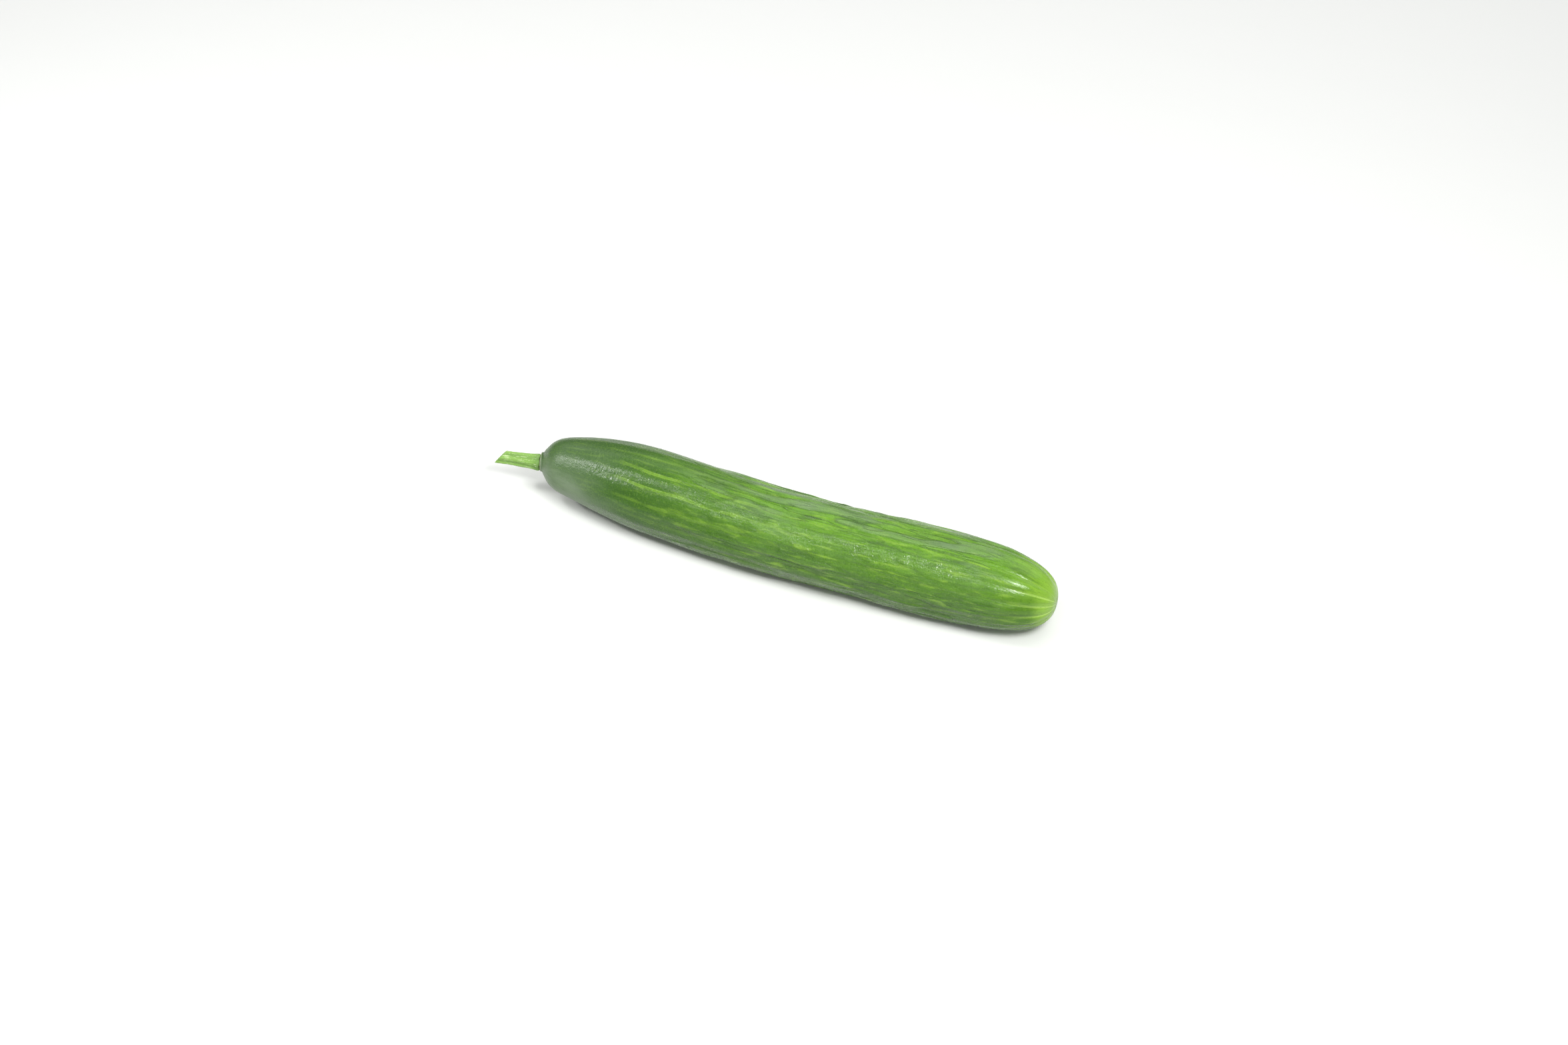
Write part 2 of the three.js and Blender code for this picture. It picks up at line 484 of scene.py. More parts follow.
def shade_pores_wax_and_cork(tree, skin, under, colours):
    """What lies over the greens: painted shade in the creases and furrows, pale and dark pores, the
    bloom of wax with its painted sheen, and the dry cork."""
    pale_pores = patches(tree, skin.peel, (1.0, 0.8, 0.8), 0.55, 0.72, detail=1.0)
    dark_pores = patches(tree, skin.peel, (1.1, 0.9, 0.9), 0.45, 0.28, detail=1.0)
    return painted(
        tree,
        under,
        # Painted shade: deep green in the creases and furrows.
        (colours.deep_green, skin.crease, 0.55),
        (colours.deep_green, skin.furrow, 0.75),
        (colours.stripe, pale_pores, 0.16),
        (colours.deep_green, dark_pores, 0.28),
        # Grey wax bloom, partly painted sheen.
        (colours.bloom, skin.bloomed),
        (colours.cork, skin.dry, 0.6),
    )


def wax_roughness(tree, skin):
    """Satin wax: duller where it is thick, and glossier by the tip. It is smoothest in tiny
    spots, which spark where they face a light. Dry cork has no wax and is dull."""
    sparks = patches(tree, skin.peel, (1.3, 0.9, 0.9), 0.54, 0.64, detail=1.0)
    roughness = where(tree, (skin.bloomed, 0.0, 0.8, 0.29, 0.36))
    for change, *shares in (
        (-0.07, skin.near_tip),
        (-0.17, sparks, (skin.along, 55, 110, 0.3, 1.0)),
        (0.3, skin.dry),
    ):
        step = {0: where(tree, *shares), 1: change, 2: roughness}
        roughness = add_node(tree, "ShaderNodeMath", step, operation="MULTIPLY_ADD").outputs[0]
    return roughness


def skin_relief(tree, skin):
    """Creases, long cords beside them, crumples of about 4 mm, ripples across the neck, dimples,
    and the grain of the bloom. The grain is really finer than this, and is drawn as coarse as it
    needs to be to show."""
    flat = add_node(tree, "ShaderNodeMath", {0: 1.0, 1: skin.crease}, operation="SUBTRACT")
    cords = patches(tree, skin.peel, (50, 2.1, 2.1), 0.25, 0.75, distortion=0.2)
    crumples = patches(tree, skin.peel, (3.4, 4.2, 4.2), 0.3, 0.7, detail=3.0)
    ripples = patches(tree, skin.peel, (1.5, 4.5, 4.5), 0.2, 0.8, detail=1.0, distortion=0.4)
    dimples = patches(tree, skin.peel, (1.7, 1.4, 1.4), 0.2, 0.8)
    grain = patches(tree, skin.peel, (0.8, 0.7, 0.7), 0.2, 0.8, detail=1.0)
    return embossed(
        tree,
        (0.18, flat.outputs[0]),
        (0.3, cords, skin.furrowed),
        (0.32, crumples, skin.crumpled),
        (0.13, ripples, skin.rippled),
        (0.13, dimples, (skin.crumpled, 0, 1, 0.4, 1.0)),
        (0.06, grain, (skin.bloomed, 0.0, 0.6, 0.3, 1.0)),
    )


def waxy_skin(settings, length):
    """The skin of a greenhouse cucumber: smooth, living and waxy. It is mottled in greens that
    run lengthwise, with pale double lines towards the stem and pale dashes further on. The wax
    gives a soft sheen, which crumples and dimples break into sparks. It is a thick grey bloom by
    the stem and thin and glossy at the paler blossom end."""
    material, tree, out = new_material("waxy_skin")
    skin = read_skin(tree, length / MM)
    colours = colours_of(settings)
    colour = mottled_green(tree, skin, colours)
    colour = pale_lines(tree, skin, colour, colours)
    colour = shade_pores_wax_and_cork(tree, skin, colour, colours)
    shader = add_node(
        tree,
        "ShaderNodeBsdfPrincipled",
        {
            "Base Color": colour,
            "Roughness": wax_roughness(tree, skin),
            "Normal": skin_relief(tree, skin),
            "IOR": 1.45,  # plant wax
            "Specular IOR Level": 0.4,
        },
    )
    tree.links.new(shader.outputs[0], out.inputs["Surface"])
    return material


def stringy_rind(settings):
    """The rind of a cucumber's stem: dull, fibrous and yellowish green, with pale strings along its
    ridges, painted as thin glints that are partly pale fibre and partly painted highlight, and
    painted shade, a darker green, between the ridges and at the root."""
    material, tree, out = new_material("stringy_rind")
    strings = add_node(tree, "ShaderNodeAttribute", attribute_name="strings").outputs["Vector"]
    ridge = add_node(tree, "ShaderNodeAttribute", attribute_name="ridge").outputs["Fac"]
    along = add_node(tree, "ShaderNodeSeparateXYZ", {0: strings}).outputs["X"]
    streaks = patches(tree, strings, (12, 0.5, 0.5), detail=3.0)
    glints = patches(tree, strings, (4.0, 0.35, 0.35), 0.6, 0.68)
    fine = patches(tree, strings, (6, 0.35, 0.35), 0.2, 0.8, detail=3.0)
    colours = colours_of(settings)
    colour = painted(
        tree,
        colours.shade,
        # Painted shade: the shade colour stays in the hollows between the ridges.
        (colours.rind, (ridge, 0.0, 0.6, 0.35, 1.0)),
        (colours.rind, streaks, 0.6),
        # Glints: pale fibre, partly painted highlight.
        (colours.fibre, glints, 0.85),
        # Painted shade at the root, where the stem meets the fruit.
        (colours.shade, (along, 5, 0.5, 0.0, 0.55)),
    )
    bumps = {"Height": fine, "Strength": 0.6, "Distance": 0.08 * MM}
    shader = add_node(
        tree,
        "ShaderNodeBsdfPrincipled",
        {
            "Base Color": colour,
            "Roughness": where(tree, (glints, 0, 1, 0.55, 0.4)),
            "Normal": add_node(tree, "ShaderNodeBump", bumps).outputs[0],
            "IOR": 1.45,
        },
    )
    tree.links.new(shader.outputs[0], out.inputs["Surface"])
    return material


def cut_pith(settings):
    """The cut through the stem: moist, pale, spongy flesh with a drying rim."""
    material, tree, out = new_material("cut_pith")
    strings = add_node(tree, "ShaderNodeAttribute", attribute_name="strings").outputs["Vector"]
    rim = add_node(tree, "ShaderNodeAttribute", attribute_name="rim").outputs["Fac"]
    sponge = patches(tree, strings, (0.5, 0.5, 0.5), 0.3, 0.7, detail=3.0)
    colours = colours_of(settings)
    bumps = {"Height": sponge, "Strength": 0.5, "Distance": 0.1 * MM}
    shader = add_node(
        tree,
        "ShaderNodeBsdfPrincipled",
        {
            "Base Color": painted(
                tree, colours.pith, (colours.cut_edge, sponge, 0.25), (colours.cut_edge, rim)
            ),
            "Roughness": where(tree, (sponge, 0, 1, 0.35, 0.6)),
            "Normal": add_node(tree, "ShaderNodeBump", bumps).outputs[0],
            "IOR": 1.38,
        },
    )
    tree.links.new(shader.outputs[0], out.inputs["Surface"])
    return material


def places_in_mm(tree):
    """Where each point of the piece is, in mm."""
    places = add_node(tree, "ShaderNodeTexCoord").outputs["Object"]
    inputs = {"Vector": places, "Scale": [1 / MM] * 3}
    return add_node(tree, "ShaderNodeMapping", inputs).outputs[0]


def dry_fibre(settings):
    """Dried plant hairs and torn rind: pale straw with a greenish tinge, and dull."""
    material, tree, out = new_material("dry_fibre")
    blotches = patches(tree, places_in_mm(tree), (1.2, 0.8, 0.8))
    colours = colours_of(settings)
    shader = add_node(
        tree,
        "ShaderNodeBsdfPrincipled",
        {
            "Base Color": painted(tree, colours.fibre, (colours.rind, blotches, 0.5)),
            "Roughness": where(tree, (blotches, 0, 1, 0.45, 0.65)),
            "IOR": 1.5,
        },
    )
    tree.links.new(shader.outputs[0], out.inputs["Surface"])
    return material


def matt_table(settings):
    """A matt, pale table top, so even that it only takes the light and the shadow."""
    material, tree, out = new_material("matt_table")
    cloud = patches(tree, places_in_mm(tree), (300, 300, 300))
    shader = add_node(
        tree,
        "ShaderNodeBsdfPrincipled",
        {
            "Base Color": [*settings.floor, 1],
            "Roughness": where(tree, (cloud, 0, 1, 0.85, 0.9)),
            "Specular IOR Level": 0.2,
        },
    )
    tree.links.new(shader.outputs[0], out.inputs["Surface"])
    return material


# ---------------------------------------------------------------------------------------------
# Modelling
# ---------------------------------------------------------------------------------------------


def fullness_of(sides):
    """How wide a subdivision surface is, as a share of its cage, on a round section."""
    return (2 + math.cos(math.tau / sides)) / 3


class Station:
    """One ring of a tube: where its middle is, which way the tube runs, and its radius."""

    def __init__(self, place, along, radius):
        self.place = Vector(place)
        self.along = Vector(along).normalized()
        self.radius = radius


def extrude_tube(name, stations, sides, close_tip=False):
    """A circle at the first station, extruded from each station to the next. The tube's line
    stays level, so it only turns about Z. The last ring can be drawn together to a point."""
    deselect_all()
    first = stations[0]
    bpy.ops.mesh.primitive_circle_add(
        vertices=sides,
        radius=first.radius,
        fill_type="NGON",
        location=first.place,
        rotation=first.along.to_track_quat("Z", "Y").to_euler(),
    )
    tube = bpy.context.object
    tube.name = tube.data.name = name
    bpy.ops.object.mode_set(mode="EDIT")
    bpy.ops.mesh.select_mode(type="FACE")
    bpy.ops.mesh.select_all(action="SELECT")
    for before, after in zip(stations, stations[1:]):
        bpy.ops.mesh.extrude_region_move(
            TRANSFORM_OT_translate={"value": after.place - before.place}
        )
        turn = before.along.rotation_difference(after.along)
        axis, angle = turn.to_axis_angle()
        # With no window, this operator turns the other way round.
        bpy.ops.transform.rotate(
            value=-angle * (1 if axis.z >= 0 else -1),
            orient_axis="Z",
            center_override=after.place,
        )
        bpy.ops.transform.resize(
            value=[after.radius / before.radius] * 3, center_override=after.place
        )
    if close_tip:
        bpy.ops.mesh.merge(type="CENTER")
    bpy.ops.mesh.select_all(action="SELECT")
    bpy.ops.mesh.normals_make_consistent(inside=False)
    bpy.ops.object.mode_set(mode="OBJECT")
    return tube


def settle(piece):
    """Puts the piece's place, turn and size into its mesh."""
    select_only(piece)
    bpy.ops.object.transform_apply(location=True, rotation=True, scale=True)


def subdivide(piece, levels):
    """Smooths the piece with a subdivision surface, and applies it."""
    bpy.context.view_layer.objects.active = piece
    bpy.ops.object.modifier_add(type="SUBSURF")
    modifier = piece.modifiers[-1]
    modifier.levels = modifier.render_levels = levels
    bpy.ops.object.modifier_apply(modifier=modifier.name)


def move_points(piece, places):
    piece.data.vertices.foreach_set("co", places.astype(np.float32).ravel())
    piece.data.update()


def outward_of(piece):
    found = np.empty(len(piece.data.vertices) * 3, np.float32)
    piece.data.vertex_normals.foreach_get("vector", found)
    return found.reshape(-1, 3).astype(float)


class Peel:
    """The skin, peeled off and laid out straight. It has, for each point, how far that is from
    the stem and how much is left to the tip, in mm, its angle and place, and how much it belongs
    to each part of the fruit, from 0 to 1."""

    RADIUS = 23.5  # in mm, half of the fruit's width
    SMOOTH_SIDE = math.radians(42)  # this side has few furrows, and so has the one across

    def __init__(self, line, places):
        distance, self.angle = line.straighten(places)
        self.far = distance / MM
        self.left = line.length / MM - self.far
        self.places = np.column_stack(
            [self.far, self.RADIUS * np.cos(self.angle), self.RADIUS * np.sin(self.angle)]
        )
        self.from_stem = smoothstep(self.far, 8, 60)
        self.on_body = smoothstep(self.far, 60, 130)
        self.by_tip = smoothstep(self.left, 72, 14)
        self.at_pole = smoothstep(self.left, 0.0, 7)
        self.on_side = smoothstep(np.abs(np.sin(self.angle - self.SMOOTH_SIDE)), 0.1, 0.65)

    def noise(self, size_mm, seed):
        return noise_at(self.places, size_mm, seed)

    def facing(self, degrees):
        """1 on the side at this angle, and 0 on the opposite side."""
        return 0.5 + 0.5 * np.cos(self.angle - math.radians(degrees))


class CUCUMBER_OT_fruit(bpy.types.Operator):
    """Grows the fruit's skin along the measured line"""

    bl_idname = "cucumber.make_fruit"
    bl_label = "Fruit"

    SIDES = 88
    STATIONS = 60
    LEVELS = 2
    MEASURED = 240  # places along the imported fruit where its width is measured
    SEAT_STEPS = (0.0, 0.1, 0.45, 0.8, 1.15, 1.5, 1.9, 2.6)  # from the seat, in millimetres
    SEAT_SHARE = 0.88  # the first ring's width, which leaves the seat's edge softly rounded
    INSIDE_ENDS = 0.03 * MM  # how far inside the fruit's ends its width is still measured
    FIRST_HOLLOW = math.radians(5)  # where one of the hollows between ribs is
    # The groove behind the collar: how far it is from the seat and half its width, in
    # millimetres, and its depth.
    GROOVE_PLACE = 1.7
    GROOVE_HALF_WIDTH = 0.5
    GROOVE_DEPTH = 0.3 * MM

    def execute(self, context):
        settings = context.scene.cucumber_fruit
        solid = Solid("fruit")
        line = GrowthLine(solid)
        skin = self.body(solid, line)
        self.sculpt(skin, line, settings)
        select_only(skin)
        bpy.ops.object.shade_smooth()
        skin.data.materials.append(waxy_skin(settings, line.length))
        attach(skin, "root")
        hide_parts("fruit")
        return {"FINISHED"}

    @classmethod
    def radius_at(cls, solid, line, distance):
        """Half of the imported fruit's width, square to its line."""
        inside = np.clip(distance, cls.INSIDE_ENDS, line.length - cls.INSIDE_ENDS)
        place = line.place(np.array([inside]))[0]
        along = line.along(np.array([inside]))[0]
        off = (solid.slice(place, along) - place) @ np.array([along[1], -along[0], 0])
        return (off.max() - off.min()) / 2

    def body(self, solid, line):
        """The plain body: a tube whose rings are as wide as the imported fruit."""
        # Past the seat, rings stand at even steps along the outline, so they crowd together
        # where it turns in towards the blossom end.
        fine = line.length * (1 - np.cos(np.linspace(0, np.pi, self.MEASURED))) / 2
        fine = fine[fine > self.SEAT_STEPS[-1] * MM]
        radii = [self.radius_at(solid, line, distance) for distance in fine]
        steps = np.hypot(np.diff(fine), np.diff(radii))
        outline = np.concatenate([[0], np.cumsum(steps)])
        even = np.linspace(0, outline[-1], self.STATIONS + 1)
        distances = np.concatenate(
            [np.array(self.SEAT_STEPS) * MM, np.interp(even, outline, fine)[1:-1], [line.length]]
        )
        fullness = fullness_of(self.SIDES)
        places, alongs = line.place(distances), line.along(distances)
        stations = []
        for distance, place, along in zip(distances, places, alongs):
            radius = self.radius_at(solid, line, distance) / fullness
            stations.append(Station(place, along, radius))
        stations[0].radius *= self.SEAT_SHARE
        body = extrude_tube("fruit_skin", stations, self.SIDES, close_tip=True)
        settle(body)
        subdivide(body, self.LEVELS)
        return body

    def sculpt(self, skin, line, settings):
        """Raises the skin's relief in places that follow the fruit's own line, lets the fruit's
        weight press its underside flat, and keeps what the skin's material reads."""
        places = corners_of(skin)
        peel = Peel(line, places)
        rib, phase = self.ribs(peel, settings)
        furrowed, furrow, plate = self.furrows(peel)
        crumpled, crumple = self.crumples(peel)
        height = rib - settings.furrow_depth * furrow + settings.plate_height * plate
        height += settings.crumple_height * crumple
        height += settings.swell_height * self.swells(peel)
        off_groove = (peel.far - self.GROOVE_PLACE) / self.GROOVE_HALF_WIDTH
        height -= self.GROOVE_DEPTH * np.exp(-(off_groove**2))
        places = places + outward_of(skin) * height[:, None]
        places[:, 2] = np.maximum(places[:, 2], 0)
        move_points(skin, places)

        # Painted shade on the side that faces the front and below, and the deeper green neck.
        shaded_side_and_neck = self.shaded_side_and_neck(peel)
        kept = {
            "peel": peel.places,
            "rib": np.column_stack([np.cos(phase), np.sin(phase), self.striped(peel, shaded_side_and_neck)]),
            "relief": np.column_stack([furrow, furrowed, crumpled]),
            # grown: painted shade, wax with painted sheen, and ripples.
            "grown": np.column_stack([shaded_side_and_neck, self.wax_and_sheen(peel, plate), self.rippled(peel)]),
        }
        for name, values in kept.items():
            keep_on_points(skin, name, values)

    def ribs(self, peel, settings):
        """Low waves on the body, which turn into full cushions with creases between them at the
        blossom end. Gives their height, and the phase of their wave."""
        wander = 0.5 * peel.noise((70, 22, 22), 1) + 0.4 * peel.noise((20, 9, 9), 2)
        phase = settings.ribs * (peel.angle - self.FIRST_HOLLOW) + np.pi
        phase += wander * (1 - 0.6 * peel.by_tip)
        low = settings.rib_height * peel.from_stem * (1 - peel.by_tip) * np.cos(phase)
        cushion = np.abs(np.cos(phase / 2)) ** 0.7 - 0.75
        uneven = 0.7 + 0.5 * peel.noise((60, 11, 11), 15)
        full = settings.tip_rib_height * peel.by_tip * peel.at_pole * cushion * uneven
        return low + full, phase

    @staticmethod
    def furrows(peel):
        """Long furrows run where a stretched noise passes through zero, and the skin on one side
        of them swells while the other sinks. Gives where they may run, how deep they are, and
        the swelling."""
        furrowed = peel.on_body * (0.3 + 0.7 * peel.on_side) * smoothstep(peel.left, 4, 50)
        waves = peel.noise((46, 4.6, 4.6), 3) + 0.3 * peel.noise((12, 3.2, 3.2), 4)
        fades = smoothstep(peel.noise((34, 9, 9), 5), -0.6, 0.2)
        furrow = np.exp(-((waves / 0.17) ** 2)) * furrowed * fades
        return furrowed, furrow, np.tanh(1.6 * waves) * furrowed

    @staticmethod
    def crumples(peel):
        """Crumples of about 6 mm, in patches where the body has few furrows. Gives the patches,
        and the crumples' height."""
        crumpled = peel.on_body * (1 - 0.7 * peel.on_side) * smoothstep(peel.left, 12, 60)
        crumpled *= smoothstep(peel.noise((30, 12, 12), 9), -0.7, 0.4)
        crumple = peel.noise((5.5, 6.5, 6.5), 7) + 0.5 * peel.noise((3.2, 4, 4), 8)
        return crumpled, crumpled * crumple

    @staticmethod
    def swells(peel):
        """Slow swells along the fruit, and shorter ones on its body."""
        short = 0.7 * peel.noise((18, 9, 9), 14) * peel.on_body
        return (peel.noise((60, 24, 24), 10) + short) * peel.from_stem * peel.at_pole

    @staticmethod
    def shaded_side_and_neck(peel):
        """Painted shade: a deeper green on the side that faces the front and below. The neck is a
        deeper green too.
        """
        side = peel.facing(-20) ** 2 * smoothstep(peel.left, 0, 12)
        return np.maximum(side, smoothstep(peel.far, 75, 20))

    @staticmethod
    def wax_and_sheen(peel, plate):
        """Wax bloom with painted sheen. The bloom is thickest on the front of the neck and thins
        towards its top, so the front is painted lighter than the top. A thin film of it greys the
        swollen skin between the furrows on the upper side: partly wax, partly painted sheen."""
        neck = smoothstep(peel.far + 8 * peel.noise((20, 9, 9), 13), 66, 14)
        neck *= 0.95 * peel.facing(5) ** 3
        upper = np.exp(-(((peel.angle - math.radians(98)) / math.radians(40)) ** 2))
        # Painted sheen: the film greys the upper side's swollen skin, over a little wax everywhere.
        film = 0.08 + 0.6 * upper * smoothstep(plate, -0.3, 0.6)
        film *= smoothstep(peel.left, 14, 50) * smoothstep(peel.far, 60, 150)
        return np.maximum(neck, film)

    @staticmethod
    def rippled(peel):
        """A patch of cross ripples, where the upper side of the neck widens."""
        along = smoothstep(peel.far, 24, 42) * smoothstep(peel.far, 90, 64)
        return along * smoothstep(peel.facing(65), 0.8, 0.975)

    @staticmethod
    def striped(peel, shaded_side_and_neck):
        """Pale lines, strongest between the neck and the body and on the upper front, and again at
        the tip, where the side with painted shade has fewer."""
        lines = smoothstep(peel.far, 38, 76) * (1 - 0.85 * smoothstep(peel.far, 110, 150))
        lines *= 0.15 + 0.85 * np.cos(peel.angle - math.radians(61)) ** 6
        # The noise is the same all along the fruit, so a line has it from end to end.
        chosen = smoothstep(noise_at(peel.places * (0, 1, 1), (90, 6, 6), 16), -0.5, 0.6)
        at_tip = smoothstep(peel.left, 34, 5) * chosen
        return np.maximum(lines, at_tip * (0.9 - 0.6 * shaded_side_and_neck))


class CUCUMBER_OT_stem(bpy.types.Operator):
    """Grows the cut stem, with its ridges and strings"""

    bl_idname = "cucumber.make_stem"
    bl_label = "Stem"

    SIDES = 24
    STATIONS = 10
    LEVELS = 3
    ROOTED = 1.1 * MM  # how far the stem reaches into the seat
    PAST_CUT = 4.5 * MM  # how far it is grown past the middle of the cut, before it is sliced
    SQUARE_OFF = (0.3 * MM, 4 * MM)  # nearer its ends than these, a cut across isn't a whole one
    FOOT_FLARE = 0.1  # how much wider it is where it is rooted
    FOOT_LENGTH = 1.5 * MM
    # Rings in the cut, from its rim inward: each one's width as a share of the one before, and
    # how far it sinks in millimetres.
    PITH_RINGS = ((0.93, 0), (0.9, 0.25), (0.8, 0.1), (0.6, 0.05))
    ON_CUT = 0.999  # how squarely a face looks the cut's way when it is part of the cut
    RIM = (2.4, 3.1)  # how far off the stem's middle the cut dries, in millimetres
    CRISP = math.radians(40)  # edges that turn more than this aren't shaded smooth

    def execute(self, context):
        settings = context.scene.cucumber_stem
        solid = Solid("stem")
        root, _ = solid.end_face((1, 0, 0), least=0.9)
        cut, cut_side = solid.end_face((-1, 0, 0), least=0.5)
        stem = self.rind(solid, root, cut, settings)
        self.slice_off(stem, cut, Vector(cut_side))
        self.mark(stem, root, cut, settings)
        bpy.ops.object.shade_smooth_by_angle(angle=self.CRISP)
        stem.data.materials.append(stringy_rind(settings))
        stem.data.materials.append(cut_pith(settings))
        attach(stem, "root")
        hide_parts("stem")
        return {"FINISHED"}

    def rind(self, solid, root, cut, settings):
        """A tube from inside the seat to past the cut, with its ridges and strings raised."""
        length = np.linalg.norm(cut - root)
        along = (cut - root) / length
        fullness = fullness_of(self.SIDES)
        stations = []
        for distance in np.linspace(-self.ROOTED, length + self.PAST_CUT, self.STATIONS + 1):
            measured = min(max(distance, self.SQUARE_OFF[0]), length - self.SQUARE_OFF[1])
            middle = root + along * measured
            ring = solid.slice(middle, along)
            radius = np.linalg.norm(ring - middle, axis=1).mean() / fullness
            foot = 1 + self.FOOT_FLARE * math.exp(-distance / self.FOOT_LENGTH)
            stations.append(Station(root + along * distance, along, radius * foot))
        stem = extrude_tube("stem_rind", stations, self.SIDES)
        settle(stem)
        subdivide(stem, self.LEVELS)

        places = corners_of(stem)
        angle, strings = self.lay_out(places, root, along)
        string = 2 * noise_at(strings, (14, 0.55, 0.55), 22) + noise_at(strings, (6, 0.4, 0.4), 23)
        height = settings.ridge_height * self.ridge_at(angle, strings, settings)
        height += settings.fibre_height * string
        move_points(stem, places + outward_of(stem) * height[:, None])
        return stem

    @staticmethod
    def ridge_at(angle, strings, settings):
        """From -1 in the hollows between the stem's ridges to 1 on their crests."""
        return np.cos(settings.ridges * angle + 0.5 * noise_at(strings, (20, 6, 6), 21))

    @staticmethod
    def lay_out(places, root, along):
        """The angle round the stem, and the place along, across and up it, in mm."""
        across = np.cross(along, (0, 0, 1))
        across /= np.linalg.norm(across)
        up = np.cross(across, along)
        off = places - root
        strings = np.column_stack([off @ along, off @ across, off @ up]) / MM
        return np.arctan2(off @ up, off @ across), strings

    def slice_off(self, stem, cut, side):
        """Slices the stem's end off on the slant. The rind stays proud, and the pith dries back
        inside it."""
        select_only(stem)
        bpy.ops.object.mode_set(mode="EDIT")
        bpy.ops.mesh.select_all(action="SELECT")
        bpy.ops.mesh.bisect(
            plane_co=cut, plane_no=side, use_fill=True, clear_outer=True, threshold=1e-6
        )
        bpy.ops.object.mode_set(mode="OBJECT")
        for face in stem.data.polygons:
            face.select = face.normal.dot(side) > self.ON_CUT
            face.material_index = 1 if face.select else 0
        bpy.ops.object.mode_set(mode="EDIT")
        bpy.ops.mesh.select_mode(type="FACE")
        middle = Vector(cut)
        for shrink, sink in self.PITH_RINGS:
            inward = -side * sink * MM
            middle = middle + inward
            bpy.ops.mesh.extrude_region_move(TRANSFORM_OT_translate={"value": inward})
            bpy.ops.transform.resize(value=[shrink] * 3, center_override=middle)
        bpy.ops.mesh.poke()
        bpy.ops.object.mode_set(mode="OBJECT")

    def mark(self, stem, root, cut, settings):
        """Keeps on the stem what its rind and its cut's pith read."""
        along = (cut - root) / np.linalg.norm(cut - root)
        angle, strings = self.lay_out(corners_of(stem), root, along)
        off = np.hypot(strings[:, 1], strings[:, 2])
        keep_on_points(stem, "strings", strings)
        keep_on_points(stem, "ridge", 0.5 + 0.5 * self.ridge_at(angle, strings, settings))
        keep_on_points(stem, "rim", smoothstep(off, *self.RIM))


class CUCUMBER_OT_hairs(bpy.types.Operator):
    """Adds the dried hairs on the stem and the torn strip at its cut"""

    bl_idname = "cucumber.make_hairs"
    bl_label = "Dried hairs"

    SEED = 12
    END_FACES = 300  # as many as show where the middle of the stem's end is
    TURN = 2.4  # radians between the spiral's steps, near the golden angle, so they spread evenly
    ROUND = 6 * MM  # how far off the stem's middle line the spiral runs
    LENGTHS = (0.35, 0.9)  # in millimetres, as are the radii
    FOOT_RADII = (0.06, 0.11)
    POINT_RADIUS = 0.015
    MIDDLE = 0.4  # how far out a hair's middle is, as a share of its length: its foot is sunk in
    # How far a hair can lean off its face's outward side. Most lean along the stem.
    LEAN = (1.62, 0.54, 0.54)
    # The torn strip: how far each stretch hangs, in millimetres, and its width as a share of the
    # one before.
    STRIP = (
        ((-0.35, -0.1, -0.45), 0.95),
        ((-0.2, -0.1, -0.55), 0.85),
        ((0.05, 0, -0.55), 0.8),
        ((0.2, 0, -0.4), 0.6),
    )
    STRIP_START = Vector((0.5, 0, 0.25)) * MM  # from the cut's long side
    STRIP_RADIUS = 0.42 * MM

    def execute(self, context):
        settings = context.scene.cucumber_stem
        stem = bpy.data.objects["stem_rind"]
        draw = random.Random(self.SEED)
        faces = [f for f in stem.data.polygons if f.material_index == 0]
        middles = np.array([f.center for f in faces])
        from_cut = middles[middles[:, 0].argsort()]
        cut = from_cut[: self.END_FACES].mean(axis=0)
        root = from_cut[-self.END_FACES :].mean(axis=0)
        deselect_all()
        hairs = []
        for _ in range(settings.hairs):
            # Blender numbers a mesh's faces anew in each run, so the number that is drawn stands
            # for a step of a spiral round the stem, and the face is the one nearest to it.
            step = draw.randrange(len(faces))
            off_line = np.array([0, math.cos(self.TURN * step), math.sin(self.TURN * step)])
            spot = root + (cut - root) * step / len(faces) + off_line * self.ROUND
            face = faces[np.linalg.norm(middles - spot, axis=1).argmin()]
            lean = Vector([draw.uniform(-most, most) for most in self.LEAN])
            stands = (face.normal + lean).normalized()
            length = draw.uniform(*self.LENGTHS) * MM
            bpy.ops.mesh.primitive_cone_add(
                vertices=5,
                radius1=draw.uniform(*self.FOOT_RADII) * MM,
                radius2=self.POINT_RADIUS * MM,
                depth=length,
                location=face.center + stands * length * self.MIDDLE,
                rotation=stands.to_track_quat("Z", "Y").to_euler(),
            )
            hairs.append(context.object)
        hairs.append(self.hanging_strip(stem))
        deselect_all()
        for hair in hairs:
            hair.select_set(True)
        bpy.ops.object.join()
        joined = context.object
        joined.name = joined.data.name = "stem_hairs"
        settle(joined)
        joined.data.materials.append(dry_fibre(settings))
        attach(joined, "root")
        return {"FINISHED"}

    @classmethod
    def hanging_strip(cls, stem):
        """The strip of torn rind that hangs from the cut's long side."""
        tip = min((v.co for v in stem.data.vertices), key=lambda place: place.x)
        deselect_all()
        bpy.ops.mesh.primitive_circle_add(
            vertices=7, radius=cls.STRIP_RADIUS, fill_type="NGON", location=tip + cls.STRIP_START
        )
        strip = bpy.context.object
        bpy.ops.object.mode_set(mode="EDIT")
        bpy.ops.mesh.select_mode(type="FACE")
        bpy.ops.mesh.select_all(action="SELECT")
        for step, shrink in cls.STRIP:
            bpy.ops.mesh.extrude_region_move(TRANSFORM_OT_translate={"value": Vector(step) * MM})
            bpy.ops.transform.resize(value=(shrink, shrink, 1))
        bpy.ops.mesh.select_all(action="SELECT")
        bpy.ops.mesh.normals_make_consistent(inside=False)
        bpy.ops.object.mode_set(mode="OBJECT")
        return strip


